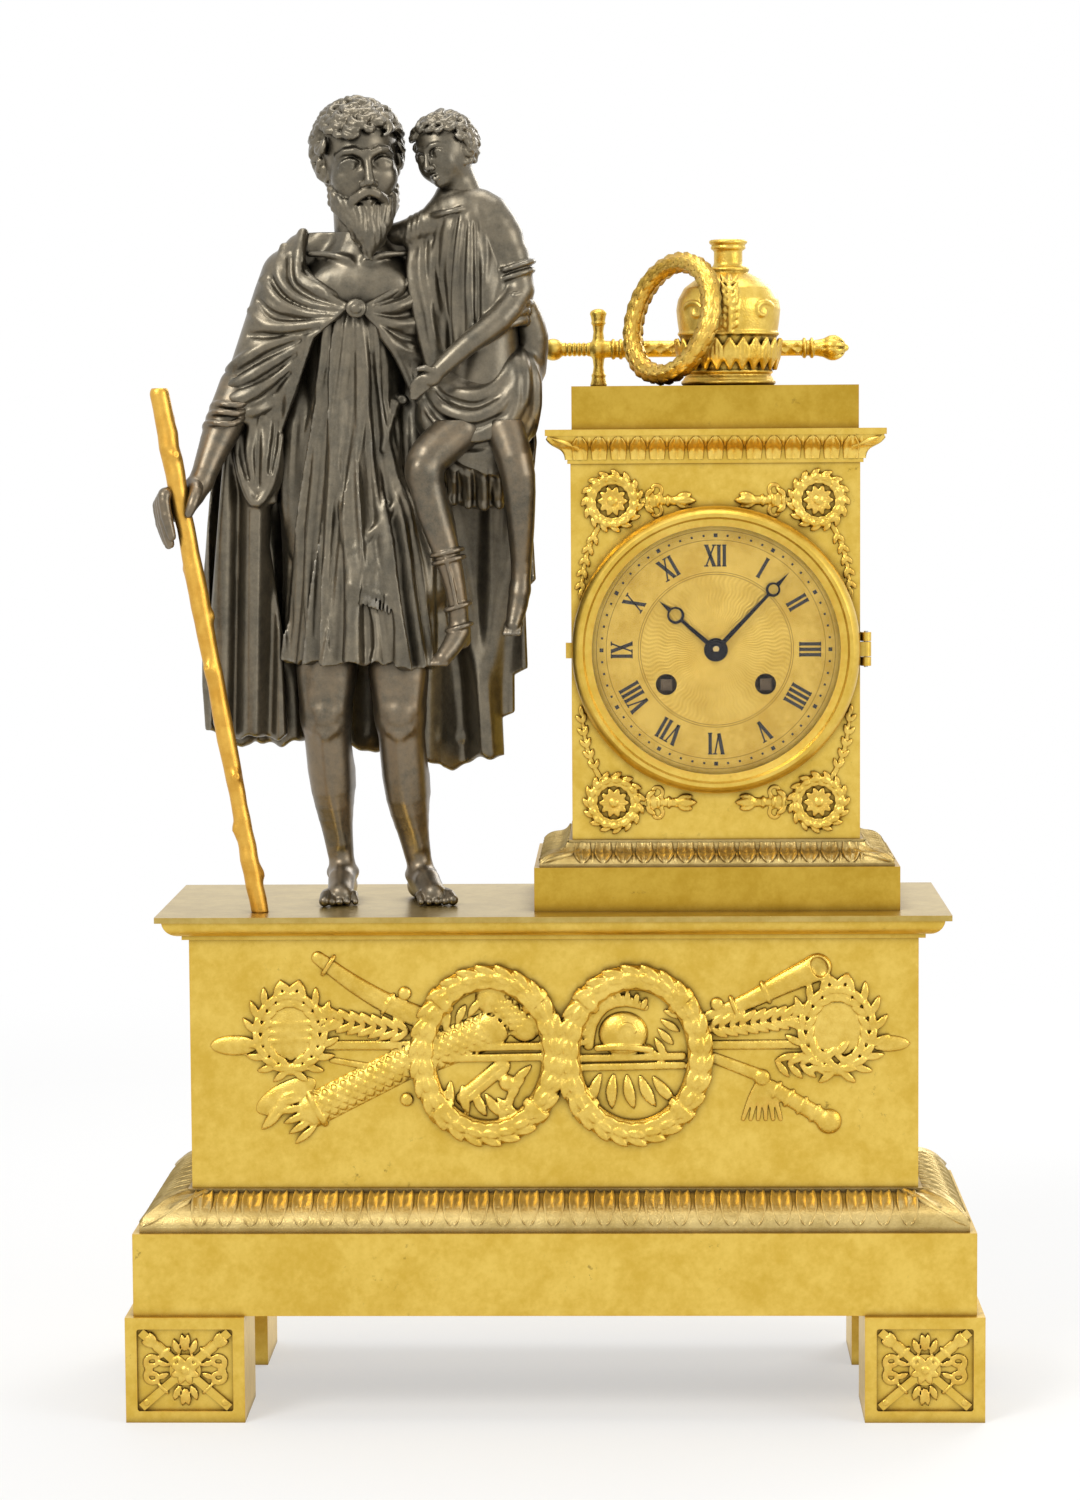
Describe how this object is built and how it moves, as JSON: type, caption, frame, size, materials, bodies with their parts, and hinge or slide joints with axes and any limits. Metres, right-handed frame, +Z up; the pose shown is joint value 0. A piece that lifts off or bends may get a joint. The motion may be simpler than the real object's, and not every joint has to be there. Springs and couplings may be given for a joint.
{
  "type": "figural mantel clock",
  "caption": "Gilt mantel clock with hinged dial bezel and back cover, geared movement, pendulum, bell, and a dark bronze group of a traveller with a staff carrying a child.",
  "frame": {"origin": "middle of the rectangle the feet stand on", "axes": "+X to the viewer's right, +Y to the back, +Z up"},
  "size_m": [0.33, 0.13, 0.5077],
  "materials": {
    "gilt_bronze": "satin",
    "patinated_bronze": "satin",
    "clock_brass": "polished",
    "steel": "polished",
    "blued_steel": "polished",
    "glass": "clear"
  },
  "bodies": {
    "clock": {"back_plate": "clock_brass", "back_ring": "clock_brass", "base_frame": "gilt_bronze", "base_moulding": "gilt_bronze", "bell": "clock_brass", "bezel_seat": "gilt_bronze", "case_attic": "gilt_bronze", "case_body": "gilt_bronze", "case_cornice": "gilt_bronze", "case_moulding": "gilt_bronze", "case_step": "gilt_bronze", "child_drape": "patinated_bronze", "child_head": "patinated_bronze", "child_legs": "patinated_bronze", "child_torso": "patinated_bronze", "dial": "gilt_bronze", "fixings": "steel", "foot_back_left": "gilt_bronze", "foot_back_right": "gilt_bronze", "foot_front_left": "gilt_bronze", "foot_front_right": "gilt_bronze", "front_plate": "clock_brass", "helmet": "gilt_bronze", "man_cloak": "patinated_bronze", "man_head": "patinated_bronze", "man_legs": "patinated_bronze", "man_right_arm": "patinated_bronze", "man_tunic": "patinated_bronze", "plate_pillars": "clock_brass", "plinth_box": "gilt_bronze", "plinth_cornice": "gilt_bronze", "plinth_relief": "gilt_bronze", "plinth_top": "gilt_bronze", "rear_cocks": "clock_brass", "spandrel_mounts": "gilt_bronze", "staff": "gilt_bronze", "sword": "gilt_bronze", "victory_wreath": "gilt_bronze"},
    "minute_hand": {"minute_hand": "blued_steel", "cannon_pinion": "clock_brass", "hand_collet": "steel"},
    "hour_hand": {"hour_hand": "blued_steel", "hour_wheel": "clock_brass"},
    "minute_wheel": {"minute_wheel": "clock_brass"},
    "center_wheel": {"center_wheel": "clock_brass"},
    "third_wheel": {"third_wheel": "clock_brass"},
    "escape_wheel": {"escape_wheel": "clock_brass"},
    "going_barrel": {"going_barrel": "clock_brass"},
    "strike_barrel": {"strike_barrel": "clock_brass"},
    "going_winding_arbor": {"going_winding_arbor": "steel"},
    "strike_winding_arbor": {"strike_winding_arbor": "steel"},
    "pallet_anchor": {"pallet_anchor": "steel"},
    "pendulum": {"pendulum": "clock_brass"},
    "strike_second_wheel": {"strike_second_wheel": "clock_brass"},
    "pin_wheel": {"pin_wheel": "clock_brass"},
    "fly": {"fly_vane": "clock_brass"},
    "hammer": {"hammer": "steel"},
    "bezel": {"bezel": "gilt_bronze", "bezel_glass": "glass"},
    "back_cover": {"back_cover": "clock_brass"}
  },
  "joints": [
    {"name": "minute_hand_turn", "type": "hinge", "parent": "clock", "child": "minute_hand", "pos_m": [0.0635, 0, 0.2947], "axis": [0, 1, 0], "continuous": true},
    {"name": "hour_hand_turn", "type": "hinge", "parent": "clock", "child": "hour_hand", "pos_m": [0.0635, 0, 0.2947], "axis": [0, 1, 0], "continuous": true},
    {"name": "minute_wheel_turn", "type": "hinge", "parent": "clock", "child": "minute_wheel", "pos_m": [0.0734, 0, 0.3046], "axis": [0, 1, 0], "continuous": true},
    {"name": "third_wheel_turn", "type": "hinge", "parent": "clock", "child": "third_wheel", "pos_m": [0.07259, 0, 0.30833], "axis": [0, 1, 0], "continuous": true},
    {"name": "center_wheel_turn", "type": "hinge", "parent": "clock", "child": "center_wheel", "pos_m": [0.0635, 0, 0.2947], "axis": [0, 1, 0], "continuous": true},
    {"name": "escape_wheel_turn", "type": "hinge", "parent": "clock", "child": "escape_wheel", "pos_m": [0.0635, 0, 0.3197], "axis": [0, 1, 0], "continuous": true},
    {"name": "going_barrel_turn", "type": "hinge", "parent": "clock", "child": "going_barrel", "pos_m": [0.0827, 0, 0.2813], "axis": [0, 1, 0], "continuous": true},
    {"name": "pin_wheel_turn", "type": "hinge", "parent": "clock", "child": "pin_wheel", "pos_m": [0.04751, 0, 0.31409], "axis": [0, 1, 0], "continuous": true},
    {"name": "strike_second_wheel_turn", "type": "hinge", "parent": "clock", "child": "strike_second_wheel", "pos_m": [0.03951, 0, 0.30422], "axis": [0, 1, 0], "continuous": true},
    {"name": "strike_barrel_turn", "type": "hinge", "parent": "clock", "child": "strike_barrel", "pos_m": [0.0443, 0, 0.2813], "axis": [0, 1, 0], "continuous": true},
    {"name": "fly_turn", "type": "hinge", "parent": "clock", "child": "fly", "pos_m": [0.04096, 0, 0.32176], "axis": [0, 1, 0], "continuous": true},
    {"name": "going_winding", "type": "hinge", "parent": "clock", "child": "going_winding_arbor", "pos_m": [0.0827, 0, 0.2813], "axis": [0, 1, 0], "continuous": true},
    {"name": "strike_winding", "type": "hinge", "parent": "clock", "child": "strike_winding_arbor", "pos_m": [0.0443, 0, 0.2813], "axis": [0, 1, 0], "continuous": true},
    {"name": "pendulum_swing", "type": "hinge", "parent": "clock", "child": "pendulum", "pos_m": [0.0635, 0, 0.3317], "axis": [0, 1, 0], "range_deg": [-3.5, 3.5]},
    {"name": "pallet_rock", "type": "hinge", "parent": "clock", "child": "pallet_anchor", "pos_m": [0.0635, 0, 0.3317], "axis": [0, 1, 0], "range_deg": [-3.5, 3.5]},
    {"name": "hammer_lift", "type": "hinge", "parent": "clock", "child": "hammer", "pos_m": [0.0305, 0, 0.2767], "axis": [0, -1, 0], "range_deg": [0, 12]},
    {"name": "bezel_hinge", "type": "hinge", "parent": "clock", "child": "bezel", "pos_m": [0.1216, -0.025, 0.2947], "axis": [0, 0, 1], "range_deg": [0, 110]},
    {"name": "back_cover_hinge", "type": "hinge", "parent": "clock", "child": "back_cover", "pos_m": [0.1087, 0.0542, 0.2947], "axis": [0, 0, -1], "range_deg": [0, 110]}
  ],
  "couplings": [
    {"joint": "minute_wheel_turn", "follows": "minute_hand_turn", "ratio": -0.33333},
    {"joint": "hour_hand_turn", "follows": "minute_hand_turn", "ratio": 0.083333},
    {"joint": "center_wheel_turn", "follows": "third_wheel_turn", "ratio": -0.083333},
    {"joint": "going_barrel_turn", "follows": "third_wheel_turn", "ratio": 0.013889},
    {"joint": "escape_wheel_turn", "follows": "third_wheel_turn", "ratio": -12},
    {"joint": "strike_second_wheel_turn", "follows": "pin_wheel_turn", "ratio": -0.1},
    {"joint": "strike_barrel_turn", "follows": "pin_wheel_turn", "ratio": 0.016667},
    {"joint": "fly_turn", "follows": "pin_wheel_turn", "ratio": -8},
    {"joint": "pallet_rock", "follows": "pendulum_swing", "ratio": 1}
  ]
}
